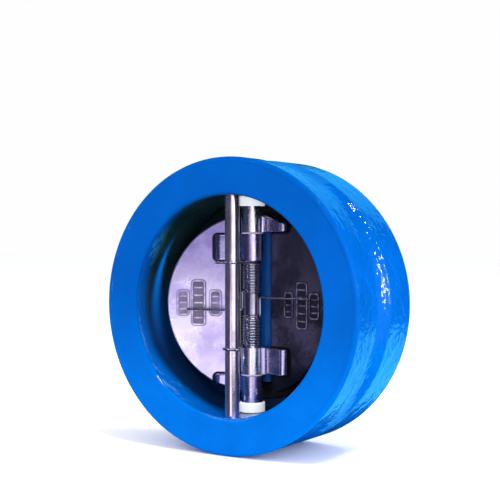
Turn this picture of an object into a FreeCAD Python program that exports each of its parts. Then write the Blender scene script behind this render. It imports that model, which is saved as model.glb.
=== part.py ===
import FreeCAD, Part
import math
import os
import re

import Sketcher

# Wafer check valve, DN 100 (4 in), two spring-loaded half-disc plates on one hinge pin.
# Frame, in millimetres: the origin is the middle of the body, +Z runs up along the hinge pin,
# -Y is the outlet (downstream) side with the plates and pins in sight, +Y is the inlet side.
# The two plates are one casting, used twice: the left one is the right one turned half a
# turn about the flow axis. The same goes for the two springs.

SIZES = {
    # body ring
    "body_radius": 81.0,
    "half_length": 32.0,
    "chamber_radius": 60.5,
    "mouth_round": 1.5,
    "bore_radius": 45.5,
    "inlet_chamfer": 2.0,
    "rim_round": 1.8,
    "waist_radius": 26.0,
    "waist_depth": 2.6,
    "waist_middle": -6.0,
    "waist_round": 3.0,
    "bearing_seat_radius": 7.5,
    "bearing_seat_reach": 60.55,
    # pins and the plugs that retain them
    "hinge_place": -3.0,
    "stop_place": -23.6,
    "pin_radius": 4.0,
    "pin_hole_radius": 4.04,
    "pin_reach": 69.0,
    "pin_chamfer": 0.8,
    "plug_shoulder": 69.5,
    "plug_radius": 4.95,
    "plug_hole_radius": 5.0,
    "plug_seal_thickness": 1.0,
    "plug_seal_bore": 2.5,
    "hinge_plug_end": 77.6,
    "stop_plug_end": 80.0,
    "plug_socket_flats": 5.0,
    "plug_socket_depth": 3.5,
    "plug_chamfer": 0.6,
    # crossbar and rubber seat
    "floor_place": 11.65,
    "seat_face": 8.45,
    "seat_clearance": 0.05,
    "seat_outer_radius": 54.7,
    "seat_inner_radius": 45.3,
    "seat_chamfer": 0.8,
    "strip_inner": 8.3,
    "strip_outer": 15.2,
    "bar_half_height": 47.0,
    "crown_half_height": 44.5,
    "bar_half_width": 13.2,
    "bar_shoulder": 8.0,
    "bar_crown": 4.1,
    "bar_crown_rise": 3.6,
    "bar_web_place": 15.0,
    "bar_nose_place": 27.5,
    "bar_nose_half_width": 3.2,
    "bar_nose_round": 2.8,
    # plates
    "plate_radius": 50.8,
    "plate_edge": 8.8,
    "plate_face": 6.2,
    "plate_thickness": 5.0,
    "plate_round": 0.9,
    "plate_back_round": 0.6,
    "arm_reach": 22.2,
    "arm_height": 4.0,
    "arm_root": 0.4,
    "arm_margin": 0.6,
    "arm_end_round": 3.3,
    "arm_blend": 3.2,
    "blend_root": 1.5,
    "knuckle_radius": 6.3,
    "knuckle_bore_radius": 4.07,
    "inner_lug_start": 24.5,
    "inner_lug_end": 39.1,
    "outer_lug_start": 40.3,
    "outer_lug_end": 54.9,
    "arm_edge_round": 0.8,
    # blank cast identification pads on the plates
    "pad_height": 0.45,
    "pad_rim": 0.8,
    "pad_round": 2.0,
    "pad_root": 0.5,
    "inner_pad_start": 19.2,
    "inner_pad_end": 25.8,
    "middle_pad_start": 28.4,
    "middle_pad_end": 36.5,
    "outer_pad_start": 37.9,
    "outer_pad_end": 45.0,
    "side_pad_half_height": 7.2,
    "middle_pad_half_height": 12.9,
    # bearings and sleeve on the hinge pin
    "bearing_bore_radius": 4.08,
    "body_bearing_radius": 7.1,
    "body_bearing_start": 55.0,
    "body_bearing_end": 60.5,
    "plate_bearing_radius": 6.2,
    "plate_bearing_start": 39.2,
    "plate_bearing_end": 40.2,
    "bearing_chamfer": 0.3,
    "sleeve_radius": 4.9,
    "sleeve_half_length": 6.0,
    # torsion springs
    "wire_radius": 0.7,
    "coil_radius": 4.8,
    "coil_pitch": 1.515,
    "coil_turns": 10.0,
    "coil_end": 23.55,
    "hook_tip": 7.5,
    "leg_turn_place": 6.9,
    "leg_place": 3.7,
    "leg_run_angle": 4.0,
    "leg_run_radius": 5.77,
    "leg_turn_sweep": 300.0,
    "leg_tip_reach": 38.5,
    "leg_tip_height": 4.95,
    "leg_bend_radius": 1.3,
    # how far a joining or cutting shape runs past the surface it meets
    "past_face": 1.0,
    # opening angles of the plates as the part is drawn, from closed
    "left_rest_angle": 22.3,
    "right_rest_angle": 13.4,
}

X_AXIS = FreeCAD.Vector(1, 0, 0)
Y_AXIS = FreeCAD.Vector(0, 1, 0)
Z_AXIS = FreeCAD.Vector(0, 0, 1)
ORIGIN = FreeCAD.Vector(0, 0, 0)

# the least cosine between two directions that count as parallel
PARALLEL = 0.99

doc = FreeCAD.newDocument("wafer_check_valve")
sheet = doc.addObject("Spreadsheet::Sheet", "Sizes")
for row, (alias, number) in enumerate(SIZES.items(), start=1):
    sheet.set(f"A{row}", alias)
    sheet.set(f"B{row}", str(number))
    sheet.setAlias(f"B{row}", alias)
doc.recompute()


def size(alias):
    """One driving dimension, read from the sheet."""
    return float(getattr(sheet, alias))


def bound(formula):
    """A formula in the sheet's aliases, written the way an expression names them."""
    return re.sub(r"[a-z]+(_[a-z]+)+", lambda word: f"Sizes.{word.group()}", formula)


def worth(formula):
    """The number that a formula in the sheet's aliases comes to."""
    return float(sheet.evalExpression(formula))


# ---------------------------------------------------------------- sketches and features


def new_body(name):
    """An empty PartDesign body whose label is the name of its node."""
    body = doc.addObject("PartDesign::Body", name)
    body.Label = name
    return body


def new_sketch(body, name, role, offset=None):
    """A sketch on one of the body's own origin planes, lifted along its normal if asked."""
    sketch = body.newObject("Sketcher::SketchObject", name)
    plane = [item for item in body.Origin.OriginFeatures if item.Role == role][0]
    sketch.AttachmentSupport = [(plane, "")]
    sketch.MapMode = "FlatFace"
    if offset:
        sketch.setExpression("AttachmentOffset.Base.z", bound(offset))
    return sketch


def pin_point(sketch, geometry, end, across, along):
    """Fixes one end of a line, or a circle's centre, at two formulas from the origin."""
    for kind, formula in (("DistanceX", across), ("DistanceY", along)):
        place = worth(formula)
        index = sketch.addConstraint(Sketcher.Constraint(kind, -1, 1, geometry, end, place))
        sketch.setExpression(f"Constraints[{index}]", bound(formula))


def side_between(start, finish, bend):
    """A line, or the short arc of a (radius formula, "left" or "right") bend, between two
    points, with the numbers that a sketch gives the ends it starts and finishes at."""
    if bend is None:
        return Part.LineSegment(start, finish), (1, 2)
    formula, way = bend
    radius = worth(formula)
    chord = finish - start
    across = FreeCAD.Vector(-chord.y, chord.x, 0).normalize()
    reach = math.sqrt(radius ** 2 - (chord.Length / 2) ** 2)
    centre = (start + finish) / 2 + across * (reach if way == "left" else -reach)
    angles = [math.atan2(point.y - centre.y, point.x - centre.x) for point in (start, finish)]
    circle = Part.Circle(centre, Z_AXIS, radius)
    if way == "left":
        return Part.ArcOfCircle(circle, angles[0], angles[1]), (1, 2)
    return Part.ArcOfCircle(circle, angles[1], angles[0]), (2, 1)


def draw_outline(sketch, corners):
    """A closed outline: each corner is two formulas, and a bend if an arc leaves it."""
    points = [FreeCAD.Vector(worth(corner[0]), worth(corner[1]), 0) for corner in corners]
    bends = [corner[2] if len(corner) > 2 else None for corner in corners]
    first = sketch.GeometryCount
    count = len(points)
    ends = []
    for step, bend in enumerate(bends):
        side, side_ends = side_between(points[step], points[(step + 1) % count], bend)
        sketch.addGeometry(side, False)
        ends.append(side_ends)
        if bend:
            limit = Sketcher.Constraint("Radius", first + step, worth(bend[0]))
            index = sketch.addConstraint(limit)
            sketch.setExpression(f"Constraints[{index}]", bound(bend[0]))
    for step, corner in enumerate(corners):
        before = (step - 1) % count
        meeting = (first + before, ends[before][1], first + step, ends[step][0])
        sketch.addConstraint(Sketcher.Constraint("Coincident", *meeting))
        pin_point(sketch, first + step, ends[step][0], corner[0], corner[1])


def draw_rectangle(sketch, left, right, low, high):
    """A rectangle between four formulas."""
    draw_outline(sketch, [(left, low), (right, low), (right, high), (left, high)])


def draw_rounded_rectangle(sketch, left, right, low, high, radius):
    """A rectangle between four formulas, with its corners rounded."""
    bend = (radius, "left")
    draw_outline(sketch, [
        (f"{left} + {radius}", low),
        (f"{right} - {radius}", low, bend),
        (right, f"{low} + {radius}"),
        (right, f"{high} - {radius}", bend),
        (f"{right} - {radius}", high),
        (f"{left} + {radius}", high, bend),
        (left, f"{high} - {radius}"),
        (left, f"{low} + {radius}", bend),
    ])


def draw_circle(sketch, across, along, radius):
    """A circle whose centre and radius are formulas."""
    centre = FreeCAD.Vector(worth(across), worth(along), 0)
    geometry = sketch.addGeometry(Part.Circle(centre, Z_AXIS, worth(radius)), False)
    index = sketch.addConstraint(Sketcher.Constraint("Radius", geometry, worth(radius)))
    sketch.setExpression(f"Constraints[{index}]", bound(radius))
    pin_point(sketch, geometry, 3, across, along)


def make_feature(body, kind, name, sketch, length=None, both_ways=False, backward=False):
    """A Pad or a Pocket of a sketch, bound to a formula and checked to change the solid."""
    before = body.Shape.Volume if body.Tip else 0.0
    feature = body.newObject(f"PartDesign::{kind}", name)
    feature.Profile = sketch
    feature.setExpression("Length", bound(length))
    feature.SideType = "Symmetric" if both_ways else "One side"
    feature.Reversed = backward
    sketch.Visibility = False
    doc.recompute()
    grown = body.Shape.Volume - before
    if (kind == "Pad") != (grown > 0):
        raise RuntimeError(f"{name} changed the volume by {grown:.1f} mm3")
    return feature


def revolve(body, name, sketch, kind="Revolution"):
    """A full turn of a sketch about its own vertical axis."""
    before = body.Shape.Volume if body.Tip else 0.0
    feature = body.newObject(f"PartDesign::{kind}", name)
    feature.Profile = sketch
    feature.ReferenceAxis = (sketch, ["V_Axis"])
    feature.Angle = 360.0
    sketch.Visibility = False
    doc.recompute()
    grown = body.Shape.Volume - before
    if (kind == "Revolution") != (grown > 0):
        raise RuntimeError(f"{name} changed the volume by {grown:.1f} mm3")
    return feature


def dress(body, kind, name, chosen, amount):
    """A Fillet or Chamfer on the edges of the body's tip that the chosen test accepts."""
    base = body.Tip
    edges = [f"Edge{n}" for n, edge in enumerate(base.Shape.Edges, start=1) if chosen(edge)]
    if not edges:
        raise RuntimeError(f"{name} found no edges")
    feature = body.newObject(f"PartDesign::{kind}", name)
    feature.Base = (base, edges)
    feature.setExpression("Radius" if kind == "Fillet" else "Size", bound(amount))
    doc.recompute()
    return feature


def near(one, other, gap=0.05):
    return abs(one - other) < gap


def circle_at(radius, axis, place):
    """A test for round edges of one radius at one place along the body's X, Y or Z."""

    def chosen(edge):
        curve = edge.Curve
        if not isinstance(curve, Part.Circle) or not near(curve.Radius, radius):
            return False
        return near(getattr(curve.Center, axis), place)

    return chosen


def upright_edge_at(across, along):
    """A test for straight edges along Z at one distance from the YZ plane, either side."""

    def chosen(edge):
        if not isinstance(edge.Curve, Part.Line) or abs(edge.tangentAt(0).z) < PARALLEL:
            return False
        middle = edge.CenterOfMass
        return near(abs(middle.x), across) and near(middle.y, along)

    return chosen


def any_of(tests):
    """A test for edges that at least one of several tests accepts."""
    return lambda edge: any(test(edge) for test in tests)


def turned_part(name, corners):
    """A piece of revolution about its own Z axis; its corners are (radius, height) formulas."""
    body = new_body(name)
    sketch = new_sketch(body, f"{name}_profile", "XZ_Plane")
    draw_outline(sketch, corners)
    revolve(body, f"{name}_turned", sketch)
    return body


def chamfered_ring(name, bore, radius, start, end, chamfer):
    """A ring, or a rod where bore is 0, with both outer edges chamfered."""
    corners = [
        (bore, start),
        (f"{radius} - {chamfer}", start),
        (radius, f"{start} + {chamfer}"),
        (radius, f"{end} - {chamfer}"),
        (f"{radius} - {chamfer}", end),
        (bore, end),
    ]
    return turned_part(name, corners)


# ---------------------------------------------------------------- valve body and seat


def valve_body():
    """The cast ring with its crossbar, the recess for the rubber seat and the pin holes."""
    body = new_body("valve_body")
    ring = new_sketch(body, "ring_profile", "XY_Plane")
    draw_outline(ring, [
        ("chamber_radius", "-half_length"),
        ("body_radius", "-half_length"),
        ("body_radius", "half_length"),
        ("bore_radius + inlet_chamfer", "half_length"),
        ("bore_radius", "half_length - inlet_chamfer"),
        ("bore_radius", "floor_place"),
        ("seat_outer_radius + seat_clearance", "floor_place"),
        ("seat_outer_radius + seat_clearance", "seat_face"),
        ("chamber_radius", "seat_face"),
    ])
    revolve(body, "ring", ring)

    waist = new_sketch(body, "waist_profile", "XY_Plane")
    draw_circle(waist, "body_radius - waist_depth + waist_radius", "waist_middle", "waist_radius")
    revolve(body, "waist", waist, "Groove")
    half_chord = worth("sqrt(waist_radius ^ 2 - (waist_radius - waist_depth) ^ 2)")
    rim = size("body_radius")
    waist_edges = [circle_at(rim, "y", size("waist_middle") + side * half_chord) for side in (-1, 1)]
    dress(body, "Fillet", "waist_rounds", any_of(waist_edges), "waist_round")
    rim_edges = [circle_at(rim, "y", side * size("half_length")) for side in (-1, 1)]
    dress(body, "Fillet", "rim_rounds", any_of(rim_edges), "rim_round")
    mouth_edge = circle_at(size("chamber_radius"), "y", -size("half_length"))
    dress(body, "Fillet", "mouth_round", mouth_edge, "mouth_round")

    seats = new_sketch(body, "bearing_seat_outline", "XY_Plane")
    draw_circle(seats, "0", "hinge_place", "bearing_seat_radius")
    make_feature(body, "Pocket", "bearing_seats", seats, "2 * bearing_seat_reach", both_ways=True)

    web = new_sketch(body, "bar_web_outline", "XY_Plane")
    web_side = [
        ("bar_half_width", "floor_place"),
        ("bar_half_width", "bar_web_place"),
        ("bar_nose_half_width", "bar_nose_place"),
    ]
    draw_outline(web, web_side + [(f"-{across}", along) for across, along in reversed(web_side)])
    make_feature(body, "Pad", "crossbar_web", web, "2 * bar_half_height", both_ways=True)
    crown = new_sketch(body, "bar_crown_outline", "XY_Plane")
    crown_round = "(bar_shoulder ^ 2 + bar_crown_rise ^ 2) / (2 * bar_crown_rise)"
    draw_outline(crown, [
        ("-bar_shoulder", "bar_crown + bar_crown_rise", (crown_round, "left")),
        ("bar_shoulder", "bar_crown + bar_crown_rise"),
        ("bar_shoulder", "floor_place + past_face"),
        ("-bar_shoulder", "floor_place + past_face"),
    ])
    make_feature(body, "Pad", "crossbar_crown", crown, "2 * crown_half_height", both_ways=True)
    nose_edge = upright_edge_at(size("bar_nose_half_width"), size("bar_nose_place"))
    dress(body, "Fillet", "nose_rounds", nose_edge, "bar_nose_round")

    bores = new_sketch(body, "pin_hole_outline", "XY_Plane")
    for place in ("hinge_place", "stop_place"):
        draw_circle(bores, "0", place, "pin_hole_radius")
    make_feature(body, "Pocket", "pin_holes", bores, "2 * (body_radius + past_face)", both_ways=True)
    for end, lift, backward in (("upper", "plug_shoulder", True), ("lower", "-plug_shoulder", False)):
        mouths = new_sketch(body, f"{end}_plug_hole_outline", "XY_Plane", lift)
        for place in ("hinge_place", "stop_place"):
            draw_circle(mouths, "0", place, "plug_hole_radius")
        make_feature(body, "Pocket", f"{end}_plug_holes", mouths, "body_radius", backward=backward)
    return body


def rubber_seat():
    """The rubber ring and the two strips beside the crossbar's crown, moulded in one."""
    body = new_body("rubber_seat")
    ring = new_sketch(body, "seat_ring_profile", "XY_Plane")
    draw_outline(ring, [
        ("seat_inner_radius + seat_chamfer", "seat_face"),
        ("seat_outer_radius - seat_chamfer", "seat_face"),
        ("seat_outer_radius", "seat_face + seat_chamfer"),
        ("seat_outer_radius", "floor_place - seat_clearance"),
        ("seat_inner_radius", "floor_place - seat_clearance"),
        ("seat_inner_radius", "seat_face + seat_chamfer"),
    ])
    revolve(body, "seat_ring", ring)
    strips = new_sketch(body, "seat_strip_outline", "XY_Plane")
    for side in ("", "-"):
        draw_rectangle(
            strips,
            f"{side}strip_inner",
            f"{side}strip_outer",
            "seat_face",
            "floor_place - seat_clearance",
        )
    make_feature(body, "Pad", "seat_strips", strips, "2 * (seat_inner_radius + past_face)", both_ways=True)
    return body


# ---------------------------------------------------------------- plates


LUGS = (
    ("outer", "outer_lug_start", "outer_lug_end", 1),
    ("inner", "inner_lug_start", "inner_lug_end", -1),
)


# how far up the plate's rim is, at one distance from the hinge axis
RIM_AT = "sqrt((plate_radius - arm_margin) ^ 2 - ({}) ^ 2)"


def lug_layer(body, name, low, height, draw):
    """One Pad between two heights along the hinge axis."""
    sketch = new_sketch(body, f"{name}_outline", "XY_Plane", low)
    draw(sketch)
    make_feature(body, "Pad", name, sketch, height)


def draw_arm(sketch, lug, start, end, sign):
    """The flat arm that carries a knuckle out over the plate; the outer one follows the rim."""
    if lug == "inner":
        draw_rectangle(sketch, "0", "arm_reach", f"{sign}{start}", f"{sign}{end}")
        return
    draw_outline(sketch, [
        ("0", f"{sign}{start}"),
        ("arm_reach", f"{sign}{start}"),
        ("arm_reach", sign + RIM_AT.format("arm_reach")),
        ("knuckle_radius", sign + RIM_AT.format("knuckle_radius")),
        ("0", sign + RIM_AT.format("knuckle_radius")),
    ])


def draw_knuckle(sketch):
    """The round of a knuckle about the hinge axis."""
    draw_circle(sketch, "0", "0", "knuckle_radius")


def draw_blend(sketch):
    """The filler that turns the corner between a knuckle and its arm into a hollow curve."""
    top = "(plate_face - arm_height)"
    centre_along = f"({top} - arm_blend)"
    centre_across = f"sqrt((knuckle_radius + arm_blend) ^ 2 - {centre_along} ^ 2)"
    share = "knuckle_radius / (knuckle_radius + arm_blend)"
    draw_outline(sketch, [
        (f"{share} * {centre_across}", f"{share} * {centre_along}", ("arm_blend", "right")),
        (centre_across, top),
        (centre_across, f"{top} + blend_root"),
        ("knuckle_radius / 2", f"{top} + blend_root"),
    ])


def plate(name):
    """A half-disc plate, hinge axis on its own Z axis, closed and reaching out along +X.

    Downstream is -Y. The outer lug is the upper one and the inner lug the lower one, so a
    second plate turned half a turn about Y interleaves with it.
    """
    body = new_body(name)
    disc = new_sketch(body, f"{name}_disc_outline", "XZ_Plane", "-plate_face")
    draw_circle(disc, "0", "0", "plate_radius")
    make_feature(body, "Pad", f"{name}_disc", disc, "plate_thickness", backward=True)
    face = size("plate_face")
    back = face + size("plate_thickness")
    edge_round = circle_at(size("plate_radius"), "y", face)
    dress(body, "Fillet", f"{name}_face_round", edge_round, "plate_round")
    back_round = circle_at(size("plate_radius"), "y", back)
    dress(body, "Fillet", f"{name}_back_round", back_round, "plate_back_round")
    half = new_sketch(body, f"{name}_other_half", "XY_Plane")
    draw_rectangle(half, "-plate_radius - past_face", "plate_edge", "0", "plate_face + 2 * plate_thickness")
    make_feature(body, "Pocket", f"{name}_cut_half", half, "2 * (plate_radius + past_face)", both_ways=True)

    for lug, start, end, side in LUGS:
        sketch = new_sketch(body, f"{name}_{lug}_arm_outline", "XZ_Plane", "arm_height - plate_face")
        draw_arm(sketch, lug, start, end, "" if side > 0 else "-")
        make_feature(body, "Pad", f"{name}_{lug}_arm", sketch, "arm_height + arm_root", backward=True)
    top = face - size("arm_height")
    arm_end = size("arm_reach")

    def at_top(edge):
        return near(edge.BoundBox.YMin, top) and near(edge.BoundBox.YMax, top)

    def arm_end_edge(edge):
        return at_top(edge) and near(edge.BoundBox.XMin, arm_end) and near(edge.BoundBox.XMax, arm_end)

    def arm_side_edge(edge):
        return at_top(edge) and not near(edge.BoundBox.XMin, edge.BoundBox.XMax)

    dress(body, "Fillet", f"{name}_arm_ends", arm_end_edge, "arm_end_round")
    dress(body, "Fillet", f"{name}_arm_edges", arm_side_edge, "arm_edge_round")

    for lug, start, end, side in LUGS:
        low = start if side > 0 else f"-{end}"
        lug_layer(body, f"{name}_{lug}_knuckle", low, f"{end} - {start}", draw_knuckle)

    for lug, start, end, side in LUGS:
        filled_end = end if lug == "inner" else RIM_AT.format("2 * knuckle_radius")
        low = start if side > 0 else f"-{filled_end}"
        lug_layer(body, f"{name}_{lug}_blend", low, f"{filled_end} - {start}", draw_blend)

    bore = new_sketch(body, f"{name}_bore_outline", "XY_Plane")
    draw_circle(bore, "0", "0", "knuckle_bore_radius")
    make_feature(body, "Pocket", f"{name}_bore", bore, "2 * (outer_lug_end + past_face)", both_ways=True)
    return body


# each pad's nearest and farthest distance from the hinge axis, half its height, and its bars
PADS = (
    ("inner_pad_start", "inner_pad_end", "side_pad_half_height", 3),
    ("middle_pad_start", "middle_pad_end", "middle_pad_half_height", 5),
    ("outer_pad_start", "outer_pad_end", "side_pad_half_height", 3),
)


def cast_pads(body, name):
    """Three blank raised frames on the plate's downstream face, with plain bars inside."""
    root = "-plate_face - pad_root"
    frames = new_sketch(body, f"{name}_pad_outline", "XZ_Plane", root)
    bars = new_sketch(body, f"{name}_bar_outline", "XZ_Plane", root)
    for start, end, half, rows in PADS:
        draw_rounded_rectangle(frames, start, end, f"-{half}", half, "pad_round")
        hollow = (f"{start} + pad_rim", f"{end} - pad_rim", f"pad_rim - {half}", f"{half} - pad_rim")
        draw_rounded_rectangle(frames, *hollow, "(pad_round - pad_rim)")
        for row in range(rows):
            middle = f"{half} * {2 * (row + 1) - rows - 1} / {rows + 1}"
            bar_ends = (f"{start} + 2 * pad_rim", f"{end} - 2 * pad_rim")
            bar_sides = (f"{middle} - pad_rim / 2", f"{middle} + pad_rim / 2")
            draw_rectangle(bars, *bar_ends, *bar_sides)
    make_feature(body, "Pad", f"{name}_pads", frames, "pad_height + pad_root")
    make_feature(body, "Pad", f"{name}_pad_bars", bars, "pad_height + pad_root")


# ---------------------------------------------------------------- springs


def tangent_path(points, bend):
    """Straight runs through the points, with a tangent arc of one radius at every corner."""
    edges = []
    start = points[0]
    for before, corner, after in zip(points, points[1:], points[2:]):
        backward = (before - corner).normalize()
        forward = (after - corner).normalize()
        half_angle = backward.getAngle(forward) / 2
        setback = bend / math.tan(half_angle)
        entry = corner + backward * setback
        leave = corner + forward * setback
        towards = (backward + forward).normalize()
        middle = corner + towards * (bend / math.sin(half_angle) - bend)
        edges.append(Part.LineSegment(start, entry).toShape())
        edges.append(Part.Arc(entry, middle, leave).toShape())
        start = leave
    edges.append(Part.LineSegment(start, points[-1]).toShape())
    return edges


def wire_solid(edges, start, direction):
    """A round wire of the spring's radius along a path of edges."""
    circle = Part.Circle(start, direction, size("wire_radius"))
    section = Part.Wire([circle.toShape()])
    sweep = Part.BRepOffsetAPI.MakePipeShell(Part.Wire(edges))
    sweep.setFrenetMode(True)
    sweep.add(section)
    sweep.build()
    sweep.makeSolid()
    return sweep.shape()


def spring_coil_shape():
    """The fixed part of the lower spring: its coils and the hook round the stop pin.

    The hinge axis is its own Z axis. The coils are left-handed and run down from the turn
    that the leg starts from; the wire then leaves the coil's left side for the stop pin,
    passes in front of it and ends in a straight tip.
    """
    radius = size("coil_radius")
    rise = size("coil_pitch") * size("coil_turns")
    bottom = -size("coil_end")
    pin = size("stop_place") - size("hinge_place")
    helix = Part.makeHelix(size("coil_pitch"), rise, radius, 0, True)
    helix.rotate(ORIGIN, Z_AXIS, 180)
    helix.translate(FreeCAD.Vector(0, 0, bottom))
    start = FreeCAD.Vector(-radius, 0, bottom)
    climb = FreeCAD.Vector(0, 2 * math.pi * radius, size("coil_pitch"))
    coil = wire_solid(helix.Edges, start, climb)

    side = FreeCAD.Vector(-radius, pin, bottom)
    slant = math.sqrt(0.5) * radius
    front_left = FreeCAD.Vector(-slant, pin - slant, bottom)
    front = FreeCAD.Vector(0, pin - radius, bottom)
    tip = FreeCAD.Vector(size("hook_tip"), pin - radius, bottom)
    hook_edges = [
        Part.LineSegment(start, side).toShape(),
        Part.Arc(side, front_left, front).toShape(),
        Part.LineSegment(front, tip).toShape(),
    ]
    hook = wire_solid(hook_edges, start, Y_AXIS)
    knot = Part.makeSphere(size("wire_radius"), start)
    return coil.fuse([hook, knot])


def spring_leg_shape():
    """The moving part of the lower spring, closed: one flat turn, the run along the sleeve
    and the leg that presses the right plate near its cast pads."""
    radius = size("coil_radius")
    run_radius = size("leg_run_radius")
    run_angle = math.radians(size("leg_run_angle"))
    lead = math.acos(radius / run_radius)
    leave_angle = run_angle + lead
    sweep = math.radians(size("leg_turn_sweep"))
    turn_height = -size("leg_turn_place")
    leg_height = size("leg_place")

    def on_circle(distance, angle, height):
        return FreeCAD.Vector(distance * math.cos(angle), distance * math.sin(angle), height)

    turn_start = on_circle(radius, leave_angle + sweep, turn_height)
    turn_middle = on_circle(radius, leave_angle + sweep / 2, turn_height)
    turn_end = on_circle(radius, leave_angle, turn_height)
    turn = Part.Arc(turn_start, turn_middle, turn_end).toShape()
    run_low = on_circle(run_radius, run_angle, turn_height)
    run_high = on_circle(run_radius, run_angle, leg_height)
    tip = FreeCAD.Vector(size("leg_tip_reach"), size("leg_tip_height"), leg_height)
    rest = tangent_path([turn_end, run_low, run_high, tip], size("leg_bend_radius"))
    direction = FreeCAD.Vector(-turn_start.y, turn_start.x, 0)
    return wire_solid([turn] + rest, turn_start, direction)


def shaped_part(name, shape):
    """A piece whose shape is worked out above from the sheet's sizes."""
    piece = doc.addObject("Part::Feature", name)
    piece.Label = name
    piece.Shape = shape
    return piece


# ---------------------------------------------------------------- the assembly

HALF_TURN_ABOUT_FLOW = FreeCAD.Rotation(Y_AXIS, 180)
HALF_TURN_ABOUT_X = FreeCAD.Rotation(X_AXIS, 180)
hinge = FreeCAD.Vector(0, size("hinge_place"), 0)
stop = FreeCAD.Vector(0, size("stop_place"), 0)
right_swing = FreeCAD.Rotation(Z_AXIS, -size("right_rest_angle"))
left_swing = FreeCAD.Rotation(Z_AXIS, size("left_rest_angle")).multiply(HALF_TURN_ABOUT_FLOW)
nodes = []


def place(piece, base=ORIGIN, rotation=None):
    """Puts a piece where it belongs and keeps it for export."""
    piece.Placement = FreeCAD.Placement(base, rotation or FreeCAD.Rotation())
    nodes.append(piece)


place(valve_body())
place(rubber_seat())

for name, swing in (("right_plate", right_swing), ("left_plate", left_swing)):
    half_disc = plate(name)
    cast_pads(half_disc, name)
    place(half_disc, hinge, swing)

for name, base in (("hinge_pin", hinge), ("stop_pin", stop)):
    rod = chamfered_ring(name, "0", "pin_radius", "-pin_reach", "pin_reach", "pin_chamfer")
    place(rod, base)

sleeve = chamfered_ring(
    "spring_sleeve", "bearing_bore_radius", "sleeve_radius",
    "-sleeve_half_length", "sleeve_half_length", "bearing_chamfer",
)
place(sleeve, hinge)

for end, turned in (("upper", None), ("lower", HALF_TURN_ABOUT_X)):
    for kind in ("body_bearing", "plate_bearing"):
        ring = chamfered_ring(
            f"{end}_{kind}", "bearing_bore_radius", f"{kind}_radius",
            f"{kind}_start", f"{kind}_end", "bearing_chamfer",
        )
        place(ring, hinge, turned)
    for pin_name, base in (("hinge", hinge), ("stop", stop)):
        seal = turned_part(f"{end}_{pin_name}_plug_seal", [
            ("plug_seal_bore", "plug_shoulder"),
            ("plug_radius", "plug_shoulder"),
            ("plug_radius", "plug_shoulder + plug_seal_thickness"),
            ("plug_seal_bore", "plug_shoulder + plug_seal_thickness"),
        ])
        place(seal, base, turned)
        plug_start = "plug_shoulder + plug_seal_thickness"
        plug_end = f"{pin_name}_plug_end"
        plug = chamfered_ring(
            f"{end}_{pin_name}_pin_plug", "0", "plug_radius", plug_start, plug_end, "plug_chamfer",
        )
        socket = new_sketch(plug, f"{end}_{pin_name}_socket_outline", "XY_Plane", plug_end)
        corner = "plug_socket_flats / sqrt(3)"
        angles = [60 * step for step in range(6)]
        draw_outline(socket, [(f"{corner} * cos({turn})", f"{corner} * sin({turn})") for turn in angles])
        make_feature(plug, "Pocket", f"{end}_{pin_name}_socket", socket, "plug_socket_depth")
        place(plug, base, turned)

place(shaped_part("lower_spring", spring_coil_shape()), hinge)
place(shaped_part("upper_spring", spring_coil_shape()), hinge, HALF_TURN_ABOUT_FLOW)
place(shaped_part("lower_spring_leg", spring_leg_shape()), hinge, right_swing)
place(shaped_part("upper_spring_leg", spring_leg_shape()), hinge, left_swing)

doc.recompute()
for item in doc.Objects:
    if "Invalid" in item.State or "Error" in item.State:
        raise RuntimeError(f"{item.Label} did not compute: {item.State}")
for piece in nodes:
    if piece.Shape.isNull() or not piece.Shape.isValid():
        raise RuntimeError(f"{piece.Label} has no valid shape")

os.makedirs("parts", exist_ok=True)
for piece in nodes:
    piece.Shape.exportStep(f"parts/{piece.Label}.step")
    box = piece.Shape.BoundBox
    print(f"{piece.Label}: {piece.Shape.Volume / 1000:.2f} cm3, {len(piece.Shape.Solids)} solid(s),"
          f" {box.XLength:.1f} x {box.YLength:.1f} x {box.ZLength:.1f} mm")
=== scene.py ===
import math

import bpy
from mathutils import Matrix, Vector


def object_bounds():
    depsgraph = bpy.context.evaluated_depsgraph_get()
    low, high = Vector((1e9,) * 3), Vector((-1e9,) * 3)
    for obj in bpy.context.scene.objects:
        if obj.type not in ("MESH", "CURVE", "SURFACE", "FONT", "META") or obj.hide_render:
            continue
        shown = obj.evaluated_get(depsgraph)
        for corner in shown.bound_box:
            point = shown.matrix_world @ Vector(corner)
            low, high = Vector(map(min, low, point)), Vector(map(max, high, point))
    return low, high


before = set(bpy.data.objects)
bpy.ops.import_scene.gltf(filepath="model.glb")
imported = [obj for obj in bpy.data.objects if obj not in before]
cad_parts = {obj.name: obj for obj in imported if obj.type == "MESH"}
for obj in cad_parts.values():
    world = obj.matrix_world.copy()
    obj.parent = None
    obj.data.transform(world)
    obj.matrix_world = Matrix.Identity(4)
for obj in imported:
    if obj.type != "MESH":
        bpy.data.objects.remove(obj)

cad_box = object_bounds()

# ---------------------------------------------------------------- colours and nodes


def colour(red, green, blue):
    """A display colour, 0 to 255 a channel, as the linear colour that a shader takes."""
    channels = []
    for value in (red, green, blue):
        share = value / 255
        channels.append(share / 12.92 if share < 0.04045 else ((share + 0.055) / 1.055) ** 2.4)
    return (*channels, 1.0)


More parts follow.
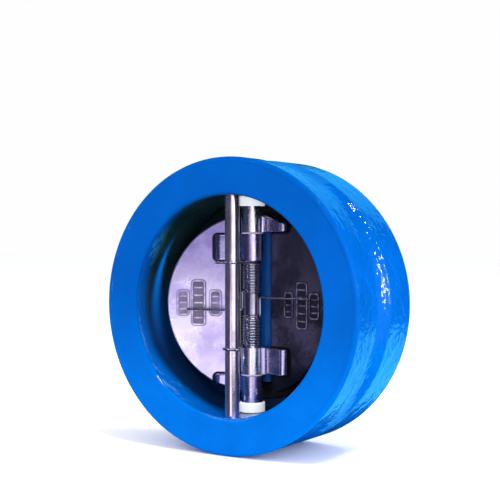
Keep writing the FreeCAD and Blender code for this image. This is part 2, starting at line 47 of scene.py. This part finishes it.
class Wiring:
    """A node tree, with short calls for the nodes in use here."""

    def __init__(self, tree, coordinates):
        self.tree = tree
        self.place = self.node("TexCoord").outputs[coordinates]

    def node(self, kind, inputs=None, **settings):
        made = self.tree.nodes.new("ShaderNode" + kind)
        for setting, value in settings.items():
            setattr(made, setting, value)
        for socket, value in (inputs or {}).items():
            if isinstance(value, bpy.types.NodeSocket):
                self.tree.links.new(value, made.inputs[socket])
            else:
                made.inputs[socket].default_value = value
        return made

    def noise(self, scale, detail=2.0, roughness=0.5, place=None):
        inputs = {"Vector": place or self.place, "Scale": scale, "Detail": detail, "Roughness": roughness}
        return self.node("TexNoise", inputs).outputs["Fac"]

    def lathe_marks(self, along, scale, detail=2.0, roughness=0.5):
        """Noise that varies along one coordinate only."""
        inputs = {"W": along, "Scale": scale, "Detail": detail, "Roughness": roughness}
        return self.node("TexNoise", inputs, noise_dimensions="1D").outputs["Fac"]

    def maths(self, operation, first, second=0.0, third=0.0):
        return self.node("Math", {0: first, 1: second, 2: third}, operation=operation).outputs[0]

    def times(self, first, *others):
        for other in others:
            first = self.maths("MULTIPLY", first, other)
        return first

    def fade(self, value, low, high, start=0.0, end=1.0):
        """value taken from low..high to start..end, smoothly, and held beyond them."""
        inputs = {"Value": value, "From Min": low, "From Max": high, "To Min": start, "To Max": end}
        return self.node("MapRange", inputs, interpolation_type="SMOOTHSTEP").outputs["Result"]

    def mixed(self, share, first, second):
        inputs = {"Factor": share, 6: first, 7: second}
        return self.node("Mix", inputs, data_type="RGBA").outputs[2]

    def axes(self, place=None):
        parts = self.node("SeparateXYZ", {"Vector": place or self.place}).outputs
        return parts["X"], parts["Y"], parts["Z"]

    def from_axis(self, first, second):
        """Distance from the axis that is square to the two coordinates given."""
        return self.maths("SQRT", self.maths("ADD", self.maths("MULTIPLY", first, first),
                                             self.maths("MULTIPLY", second, second)))

    def from_box(self, first, second, middle, half, corner):
        """Distance outside a rectangle with round corners, in the two coordinates given."""
        over = []
        for value, centre, reach in zip((first, second), middle, half):
            away = self.maths("ABSOLUTE", self.maths("SUBTRACT", value, centre))
            over.append(self.maths("SUBTRACT", away, reach - corner))
        outside = self.from_axis(*(self.maths("MAXIMUM", value, 0.0) for value in over))
        inside = self.maths("MINIMUM", self.maths("MAXIMUM", *over), 0.0)
        return self.maths("SUBTRACT", self.maths("ADD", outside, inside), corner)

    def bump(self, height, depth, below=None, strength=1.0):
        """A bump of depth metres at height 1, on top of the one below."""
        inputs = {"Height": height, "Distance": depth, "Strength": strength}
        if below:
            inputs["Normal"] = below
        return self.node("Bump", inputs).outputs["Normal"]


class Recipe(Wiring):
    """A material under construction, in the coordinates of the object it is on."""

    def __init__(self, name, **constants):
        self.material = bpy.data.materials.new(name)
        self.material.use_nodes = True
        super().__init__(self.material.node_tree, "Object")
        self.shader = self.tree.nodes["Principled BSDF"]
        for socket, value in constants.items():
            self.shader.inputs[socket.replace("_", " ")].default_value = value

    def use(self, **links):
        for socket, value in links.items():
            self.tree.links.new(value, self.shader.inputs[socket.replace("_", " ")])
        return self.material


# the body's own measures in metres: it lies along Y, with the outlet face at -HALF_LENGTH
HALF_LENGTH, CHAMBER_FLOOR = 0.032, 0.01165
CHAMBER_RADIUS, WAIST_RADIUS, BODY_RADIUS = 0.0605, 0.0784, 0.081
STRIP_HALF_WIDTH, CROWN_HALF_HEIGHT, CROWN_FRONT = 0.0152, 0.0445, 0.0041
STREAK_PLACE, LEFT_GLINT_HEIGHT = -0.0122, -0.0433


def chamber_shade(recipe, x, y, z, radius):
    """Shares of the chamber's wall, of its painted shade, and of the painted highlight streak on its left
    side.
    """
    # painted shade: the wall darkens from near the mouth inwards, sooner at the top than at the bottom
    bottom = recipe.fade(z, -0.02, -0.06, 0.0, 0.008)
    top = recipe.fade(z, 0.03, 0.056, 0.0, 0.006)
    depth = recipe.maths("ADD", recipe.maths("SUBTRACT", y, bottom), top)
    inside = recipe.times(recipe.fade(depth, -0.0290, -0.0180),
                          recipe.fade(radius, CHAMBER_RADIUS + 0.002, CHAMBER_RADIUS + 0.0007),
                          recipe.fade(y, CHAMBER_FLOOR + 0.00015, CHAMBER_FLOOR - 0.00085))

    # painted highlight: a lighter blue streak on the chamber's left wall
    streak_half = recipe.fade(z, 0.036, -0.02, 0.0024, 0.0080)
    from_streak = recipe.maths("ABSOLUTE", recipe.maths("SUBTRACT", y, STREAK_PLACE))
    off_streak = recipe.maths("DIVIDE", from_streak, streak_half)
    streak = recipe.times(recipe.fade(off_streak, 1.2, 0.1), recipe.fade(z, 0.042, 0.022),
                          recipe.fade(z, -0.036, 0.022, 0.0, 0.85), recipe.fade(x, 0.0, -0.02))

    # the crossbar's crown keeps most of its blue under the painted shade
    on_bar = recipe.times(
        recipe.fade(recipe.maths("ABSOLUTE", x), STRIP_HALF_WIDTH + 0.0012, STRIP_HALF_WIDTH + 0.0006),
        recipe.fade(y, CROWN_FRONT - 0.0011, CROWN_FRONT - 0.0001),
        recipe.fade(recipe.maths("ABSOLUTE", z), CROWN_HALF_HEIGHT + 0.0015, CROWN_HALF_HEIGHT))
    off_bar = recipe.maths("MAXIMUM", recipe.maths("SUBTRACT", 1.0, on_bar), 0.35)
    chamber_painted_shade = recipe.times(inside, off_bar, recipe.maths("SUBTRACT", 1.0, streak))
    return inside, chamber_painted_shade, streak


def bare_of_gloss(recipe, y, z, radius, inside):
    """Where the enamel has no clear gloss: the chamber, the rim's round, and the mouth's save two glints."""
    from_glint = recipe.maths("ABSOLUTE", recipe.maths("SUBTRACT", z, LEFT_GLINT_HEIGHT))
    left_glint = recipe.fade(from_glint, 0.0036, 0.002)
    glints = recipe.maths("MAXIMUM", left_glint, recipe.fade(z, -0.0575, -0.059))
    mouth = recipe.times(recipe.fade(radius, CHAMBER_RADIUS + 0.0027, CHAMBER_RADIUS + 0.0019),
                         recipe.fade(y, -HALF_LENGTH + 0.0025, -HALF_LENGTH + 0.0017),
                         recipe.maths("SUBTRACT", 1.0, glints))
    at_end = recipe.fade(recipe.maths("ABSOLUTE", y), HALF_LENGTH - 0.0025, HALF_LENGTH - 0.0014)
    rim = recipe.times(recipe.fade(radius, BODY_RADIUS - 0.0028, BODY_RADIUS - 0.0015), at_end, 0.9)
    rounds = recipe.maths("MAXIMUM", mouth, rim)
    return recipe.maths("MAXIMUM", rounds, recipe.maths("MULTIPLY", inside, 0.8))


def body_enamel():
    """Thick glossy blue enamel over a casting, with painted shade and a painted highlight down in the
    chamber.
    """
    recipe = Recipe("blue_enamel", Coat_Roughness=0.03, Coat_IOR=1.5, Specular_IOR_Level=0.0)
    x, y, z = recipe.axes()
    radius = recipe.from_axis(x, z)
    patches = recipe.fade(recipe.noise(22, 3, 0.55), 0.35, 0.68)
    high = recipe.mixed(patches, colour(0, 76, 156), colour(0, 83, 170))
    low = recipe.mixed(patches, colour(0, 98, 190), colour(0, 109, 206))
    # painted shade: the blue is darker towards the top of the body and lighter low down
    blue = recipe.mixed(recipe.fade(z, -0.075, 0.025), low, high)

    inside, chamber_painted_shade, streak = chamber_shade(recipe, x, y, z, radius)
    # the chamber's painted shade colours, a lighter navy low down as painted light, and the streak's painted
    # highlight blue
    chamber = recipe.mixed(recipe.fade(recipe.noise(35, 4, 0.6), 0.35, 0.65),
                           colour(10, 28, 36), colour(18, 38, 40))
    chamber = recipe.mixed(recipe.fade(z, 0.02, -0.02), chamber, colour(8, 36, 72))
    shown = recipe.mixed(chamber_painted_shade, recipe.mixed(streak, blue, colour(0, 136, 245)), chamber)

    # faint turning marks on the flat ends, and waves in the paint on the cast outside
    flat_end = recipe.fade(recipe.maths("ABSOLUTE", y), HALF_LENGTH - 0.0004, HALF_LENGTH - 0.00005)
    rings = recipe.maths("MULTIPLY", recipe.lathe_marks(radius, 420.0, 3.0, 0.6), flat_end)
    shown = recipe.mixed(recipe.maths("MULTIPLY", rings, 0.16), shown, colour(0, 66, 160))
    as_cast = recipe.fade(radius, WAIST_RADIUS - 0.0008, WAIST_RADIUS, 0.15, 1.0)
    peel = recipe.bump(recipe.times(recipe.noise(300, 1.5, 0.5), as_cast), 0.0004)
    swell = recipe.bump(recipe.noise(130, 2, 0.5), 0.0005, peel)
    normal = recipe.bump(rings, 0.00005, swell)
    gloss = recipe.fade(recipe.noise(45, 3), 0.3, 0.7, 0.3, 0.42)
    bare = bare_of_gloss(recipe, y, z, radius, inside)
    return recipe.use(Base_Color=shown, Roughness=gloss, Normal=normal, Coat_Normal=normal,
                      Coat_Weight=recipe.maths("SUBTRACT", 1.0, bare))


# the plates' own frame, in mm: u out from the hinge axis, v upstream, w along the hinge pin
HINGE, MM_PER_M = (0.0, -0.003, 0.0), 1000.0
PLATE_FACE, ARM_TOP, PAD_TOP, KNUCKLE = 6.2, 2.2, 5.75, 6.3
PLATE_EDGE, PLATE_RADIUS = 8.8, 50.8
# the middle and half size, in u and w, of each arm and each pad
ARMS = (((11.1, 47.6), (11.1, 7.3)), ((11.1, -31.8), (11.1, 7.3)))
PADS = (((22.5, 0.0), (3.3, 7.2)), ((32.45, 0.0), (4.05, 12.9)), ((41.45, 0.0), (3.55, 7.2)))


def plate_place(recipe, angle, flip):
    """The plate's own coordinates at rest, where it hangs angle degrees open."""
    hung = recipe.node("VectorMath", {0: recipe.place, 1: HINGE}, operation="SUBTRACT").outputs["Vector"]
    side = -MM_PER_M if flip else MM_PER_M
    settings = {"Vector": hung, "Rotation": (0, 0, math.radians(angle)), "Scale": (side, MM_PER_M, side)}
    return recipe.node("Mapping", settings).outputs["Vector"]


def share_of_boxes(recipe, u, w, boxes, corner, grow, outside, inside):
    """1 within any of the boxes, 0 away from them; grow lengthens them along u at the far end."""
    share = 0.0
    for middle, half in boxes:
        gap = recipe.from_box(u, w, (middle[0] + grow, middle[1]), (half[0] + grow, half[1]), corner)
        share = recipe.maths("MAXIMUM", recipe.fade(gap, outside, inside), share)
    return share


def plate_steel(name, angle, flip, light, dark, shade, foot, shade_and_grime_colour, rim, pad, lug):
    """Satin cast stainless steel, blotchy, with painted light and shade and grimy creases, and bright
    knuckles.
    """
    recipe = Recipe(name, Specular_IOR_Level=0.6)
    local = plate_place(recipe, angle, flip)
    u, v, w = recipe.axes(local)
    blotches = recipe.noise(0.05, 5, 0.62, local)
    speckle = recipe.noise(0.5, 4, 0.7, local)
    coarse = recipe.maths("MULTIPLY", blotches, 0.75)
    tone = recipe.maths("ADD", coarse, recipe.maths("MULTIPLY", speckle, 0.25))
    shown = recipe.mixed(recipe.fade(tone, 0.4, 0.6), dark, light)

    # painted shade at the top; at the foot and on the outer edge, painted light on the left plate and painted
    # shade on the right
    height = recipe.axes()[2]
    shaded = recipe.times(recipe.fade(height, -0.004, 0.036), recipe.fade(blotches, 0.3, 0.6, 0.5, 1.0))
    shown = recipe.mixed(shaded, shown, shade)
    shown = recipe.mixed(recipe.fade(height, -0.022, -0.042), shown, foot)
    outer_edge = recipe.times(recipe.fade(recipe.from_axis(u, w), PLATE_RADIUS - 1.6, PLATE_RADIUS - 0.8),
                              recipe.fade(height, 0.012, -0.012))
    shown = recipe.mixed(outer_edge, shown, rim)

    near_arm = share_of_boxes(recipe, u, w, ARMS, 2.2, 0.6, 1.3, 0.7)
    on_arm = share_of_boxes(recipe, u, w, ARMS, 1.0, 0.0, 0.6, 0.3)
    in_pad = share_of_boxes(recipe, u, w, PADS, 2.0, 0.0, 0.9, 0.1)
    # painted shade: darker at the arms' feet, in the pads' hollows and along the cut edge, on a rougher grimy
    # layer
    arm_shade_and_grime = recipe.maths("MULTIPLY", near_arm, recipe.fade(v, ARM_TOP + 1.8, ARM_TOP + 2.8))
    pad_shade_and_grime = recipe.times(in_pad, recipe.fade(v, PAD_TOP + 0.08, PLATE_FACE - 0.12),
                            recipe.fade(blotches, 0.35, 0.6, 0.45, 0.75))
    cut_edge = recipe.times(recipe.fade(u, PLATE_EDGE + 0.25, PLATE_EDGE + 0.1),
                            recipe.fade(v, PLATE_FACE - 0.3, PLATE_FACE + 0.1))
    downstream = recipe.fade(v, PLATE_FACE + 0.6, PLATE_FACE + 0.4)
    shade_and_grime = recipe.maths("MAXIMUM", arm_shade_and_grime, pad_shade_and_grime)
    shade_and_grime = recipe.maths("MAXIMUM", recipe.maths("MULTIPLY", shade_and_grime, downstream), cut_edge)
    # the pads' tops in their own tone, in patches: on the right plate a painted highlight, on the left a
    # duller tone
    pad_top_patches = recipe.fade(recipe.noise(0.4, 2, 0.5, local), 0.42, 0.58, 0.15, 1.0)
    pad_top = recipe.times(in_pad, recipe.fade(v, PAD_TOP + 0.1, PAD_TOP + 0.02), pad_top_patches)
    shown = recipe.mixed(pad_top, shown, pad)
    shown = recipe.mixed(shade_and_grime, shown, shade_and_grime_colour)

    turned = recipe.fade(recipe.from_axis(u, v), KNUCKLE + 0.5, KNUCKLE + 0.2)
    arm_face = recipe.maths("MULTIPLY", on_arm, recipe.fade(v, ARM_TOP + 2.8, ARM_TOP + 1.8))
    bright = recipe.maths("MAXIMUM", turned, arm_face)
    shown = recipe.mixed(bright, shown, recipe.mixed(turned, colour(196, 190, 222), lug))

    gloss = recipe.fade(recipe.noise(0.12, 4, 0.6, local), 0.3, 0.7, 0.27, 0.42)
    rough = recipe.maths("ADD", gloss, recipe.maths("MULTIPLY", shade_and_grime, 0.3))
    rough = recipe.maths("SUBTRACT", rough, recipe.maths("MULTIPLY", bright, 0.1))
    cast = recipe.fade(bright, 0.0, 0.5, 1.0, 0.06)
    grain = recipe.bump(recipe.noise(1.6, 3, 0.6, local), 0.00005, strength=cast)
    normal = recipe.bump(blotches, 0.0006, grain, cast)
    metal = recipe.fade(bright, 0.0, 1.0, 0.85, 1.0)
    return recipe.use(Base_Color=shown, Roughness=rough, Normal=normal, Metallic=metal)


def turned_steel(name, tone, gloss, depth, metallic=1.0):
    """Bright steel turned on a lathe about the Z direction."""
    recipe = Recipe(name, Metallic=metallic)
    turning = recipe.lathe_marks(recipe.axes()[2], 2000.0)
    stain = recipe.noise(90, 4, 0.6)
    shade = tuple(0.72 * value for value in tone[:3]) + (1.0,)
    shown = recipe.mixed(recipe.fade(stain, 0.35, 0.7), tone, shade)
    rough = recipe.fade(recipe.noise(240, 3), 0.3, 0.7, gloss * 0.8, gloss * 1.3)
    normal = recipe.bump(turning, depth)
    return recipe.use(Base_Color=shown, Roughness=rough, Normal=normal)


def rubber():
    recipe = Recipe("black_rubber", Specular_IOR_Level=0.4)
    shown = recipe.mixed(recipe.fade(recipe.noise(60, 4), 0.3, 0.7), colour(14, 14, 16), colour(26, 26, 30))
    gloss = recipe.fade(recipe.noise(300, 3), 0.3, 0.7, 0.5, 0.68)
    normal = recipe.bump(recipe.noise(900, 3, 0.6), 0.00006)
    return recipe.use(Base_Color=shown, Roughness=gloss, Normal=normal)


def white_ptfe(name, light, dark, painted_glow=0.0):
    """Translucent plastic turned on a lathe; its emission is painted light, making it brighter than the lamps
    make it.
    """
    recipe = Recipe(name, Specular_IOR_Level=0.45, Emission_Strength=painted_glow, Emission_Color=light)
    shown = recipe.mixed(recipe.fade(recipe.noise(80, 3), 0.3, 0.7), light, dark)
    gloss = recipe.fade(recipe.noise(400, 3), 0.3, 0.7, 0.3, 0.42)
    normal = recipe.bump(recipe.lathe_marks(recipe.axes()[2], 2600.0), 0.00003)
    return recipe.use(Base_Color=shown, Roughness=gloss, Normal=normal)


# ---------------------------------------------------------------- finishes of the CAD nodes

ENAMEL = body_enamel()
# one steel for both plates: the left is painted lit and pale, the right painted in shade and dark, with
# bright lugs and pad tops
LEFT_STEEL_LIT = plate_steel(
    "left_plate_steel", 22.3, True, light=colour(250, 244, 255), dark=colour(212, 200, 236),
    shade=colour(146, 136, 190), foot=colour(236, 228, 250), shade_and_grime_colour=colour(46, 34, 60),
    rim=colour(250, 246, 255), pad=colour(186, 172, 214), lug=colour(206, 198, 230))
RIGHT_STEEL_SHADED = plate_steel(
    "right_plate_steel", 13.4, False, light=colour(112, 106, 134), dark=colour(60, 60, 78),
    shade=colour(74, 76, 98), foot=colour(30, 34, 44), shade_and_grime_colour=colour(30, 28, 40),
    rim=colour(34, 34, 46), pad=colour(190, 184, 212), lug=colour(250, 246, 255))
PIN_STEEL = turned_steel("polished_pin_steel", colour(226, 214, 230), 0.14, 0.00001, 0.96)
SLEEVE_STEEL = turned_steel("sleeve_steel", colour(190, 184, 204), 0.2, 0.00002)
SPRING_STEEL = turned_steel("spring_wire", colour(200, 200, 212), 0.2, 0.00001)
PLUG_STEEL = turned_steel("zinc_plug", colour(176, 178, 186), 0.3, 0.00002)
RUBBER = rubber()
# the body bearings glow: painted light that brightens them beyond their lighting
GLOWING_PTFE = white_ptfe("white_ptfe", colour(248, 252, 255), colour(240, 246, 254), 0.35)
PLATE_BEARING = white_ptfe("grey_ptfe", colour(206, 200, 220), colour(176, 170, 196))
SEAL = white_ptfe("seal_ptfe", colour(206, 206, 210), colour(186, 186, 192))

FINISHES = {
    "valve_body": ENAMEL,
    "rubber_seat": RUBBER,
    "left_plate": LEFT_STEEL_LIT,
    "right_plate": RIGHT_STEEL_SHADED,
    "hinge_pin": PIN_STEEL,
    "stop_pin": PIN_STEEL,
    "spring_sleeve": SLEEVE_STEEL,
    "upper_body_bearing": GLOWING_PTFE,
    "lower_body_bearing": GLOWING_PTFE,
    "upper_plate_bearing": PLATE_BEARING,
    "lower_plate_bearing": PLATE_BEARING,
}
for name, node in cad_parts.items():
    if "spring" in name and name not in FINISHES:
        finish = SPRING_STEEL
    elif "seal" in name:
        finish = SEAL
    elif "plug" in name:
        finish = PLUG_STEEL
    else:
        finish = FINISHES[name]
    for place in node.material_slots:
        place.material = finish

# ---------------------------------------------------------------- camera

AZIMUTH, ELEVATION, DISTANCE = math.radians(32.19), math.radians(3.40), 0.600
TURN_LEFT, PITCH_UP = 0.0049, 0.0504

back = Vector((math.sin(AZIMUTH) * math.cos(ELEVATION),
               -math.cos(AZIMUTH) * math.cos(ELEVATION),
               math.sin(ELEVATION)))
turn = (-back).to_track_quat("-Z", "Y").to_matrix()
turn = turn @ Matrix.Rotation(TURN_LEFT, 3, "Y") @ Matrix.Rotation(PITCH_UP, 3, "X")
lens = bpy.data.cameras.new("camera")
lens.lens, lens.sensor_width = 76.4, 36.0
lens.clip_start, lens.clip_end = 0.01, 50.0
camera = bpy.data.objects.new("camera", lens)
camera.matrix_world = Matrix.Translation(back * DISTANCE) @ turn.to_4x4()
bpy.context.scene.collection.objects.link(camera)
bpy.context.scene.camera = camera

# ---------------------------------------------------------------- floor and light

floor_mesh = bpy.data.meshes.new("floor")
reach, drop = 6.0, cad_box[0].z
floor_corners = [(-reach, -reach, drop), (reach, -reach, drop), (reach, reach, drop), (-reach, reach, drop)]
floor_mesh.from_pydata(floor_corners, [], [(0, 1, 2, 3)])
floor = bpy.data.objects.new("floor", floor_mesh)
bpy.context.scene.collection.objects.link(floor)
floor.visible_glossy = False
floor_recipe = Recipe("pale_floor", Specular_IOR_Level=0.2)
floor_recipe.use(
    Base_Color=floor_recipe.mixed(floor_recipe.noise(3, 2), colour(254, 254, 254), colour(251, 251, 252)),
    Roughness=floor_recipe.fade(floor_recipe.noise(8, 2), 0, 1, 0.7, 0.8))
floor_mesh.materials.append(floor_recipe.material)


def softbox(name, azimuth, elevation, distance, width, height, watts, tint=(255, 255, 255)):
    """An area light that looks at the middle of the object from the direction given."""
    side, rise = math.radians(azimuth), math.radians(elevation)
    away = Vector((math.sin(side) * math.cos(rise), -math.cos(side) * math.cos(rise), math.sin(rise)))
    light = bpy.data.lights.new(name, "AREA")
    light.shape, light.size, light.size_y = "RECTANGLE", width, height
    light.energy, light.color = watts, colour(*tint)[:3]
    lamp = bpy.data.objects.new(name, light)
    lamp.location = away * distance
    lamp.rotation_mode = "QUATERNION"
    lamp.rotation_quaternion = away.to_track_quat("Z", "Y")
    lamp.visible_camera = False
    bpy.context.scene.collection.objects.link(lamp)
    return lamp


softbox("front_card", 8, 30, 1.5, 0.5, 0.7, 3.0, (222, 208, 255))
softbox("right_softbox", 57, 14, 1.5, 1.45, 1.2, 10.0)
softbox("key_lamp", 57, 61, 1.5, 0.22, 0.22, 8.0)
softbox("left_lamp", -42, 40, 1.5, 0.22, 0.14, 1.6, (255, 244, 230))
softbox("tall_strip", 121, 12, 1.6, 0.035, 0.75, 8.0, (225, 245, 255))
softbox("upper_strip", 134, 53, 1.6, 0.08, 0.12, 4.0)
softbox("middle_strip", 127, 33, 1.6, 0.05, 0.05, 0.7)
softbox("side_fill", 112, 18, 1.6, 0.6, 1.0, 4.0).visible_glossy = False

# the sky that lights the object is white; what it mirrors is a dark room with soft windows
world = bpy.data.worlds.new("studio")
world.use_nodes = True
sky = Wiring(world.node_tree, "Generated")
rays = sky.node("LightPath").outputs
east, north, up = sky.axes()
heading = sky.maths("MULTIPLY", sky.maths("ARCTAN2", east, sky.maths("MULTIPLY", north, -1.0)), 180 / math.pi)
rise = sky.maths("MULTIPLY", sky.maths("ARCSINE", up), 180 / math.pi)


def window(room, azimuth, half, low, high, soft, tint, strength):
    """The room with one soft-edged window, in degrees, let into it."""
    turned = sky.maths("WRAP", sky.maths("SUBTRACT", heading, azimuth), 180.0, -180.0)
    aside = sky.maths("ABSOLUTE", turned)
    share = sky.times(sky.fade(aside, half + soft, half), sky.fade(rise, low - soft, low),
                      sky.fade(rise, high + soft, high))
    red, green, blue, alpha = colour(*tint)
    return sky.mixed(share, room, (red * strength, green * strength, blue * strength, alpha))


room = sky.mixed(sky.fade(rise, -30.0, 40.0), colour(48, 50, 66), colour(60, 64, 84))
# azimuth, half width, lowest, highest, softness, colour, strength
WINDOWS = (
    (159.0, 55.0, -90.0, 90.0, 6.0, (10, 36, 76), 1.0),
    (12.0, 10.0, -40.0, -6.0, 4.0, (230, 221, 255), 3.0),
    (25.0, 5.0, -16.0, 34.0, 5.0, (244, 240, 255), 1.0),
    (128.0, 18.0, -20.0, 20.0, 5.0, (90, 125, 210), 1.0),
    (171.0, 14.0, -60.0, -12.0, 3.0, (90, 225, 255), 1.7),
    (-164.0, 20.0, 17.0, 60.0, 6.0, (60, 185, 240), 1.5),
)
for opening in WINDOWS:
    room = window(room, *opening)


def sky_level(tint, strength):
    return sky.node("Background", {"Color": tint, "Strength": strength}).outputs["Background"]


def sky_choice(kind, first, second):
    return sky.node("MixShader", {"Fac": rays[kind], 1: first, 2: second}).outputs["Shader"]


DAYLIGHT = 1.08
lit_room = sky_choice("Is Glossy Ray", sky_level(colour(255, 255, 255), DAYLIGHT), sky_level(room, 1.0))
backdrop = sky_choice("Is Camera Ray", lit_room, sky_level(colour(254, 254, 254), 1.0))
sky.tree.links.new(backdrop, sky.tree.nodes["World Output"].inputs["Surface"])
bpy.context.scene.world = world
bpy.context.scene.view_settings.view_transform = "Standard"
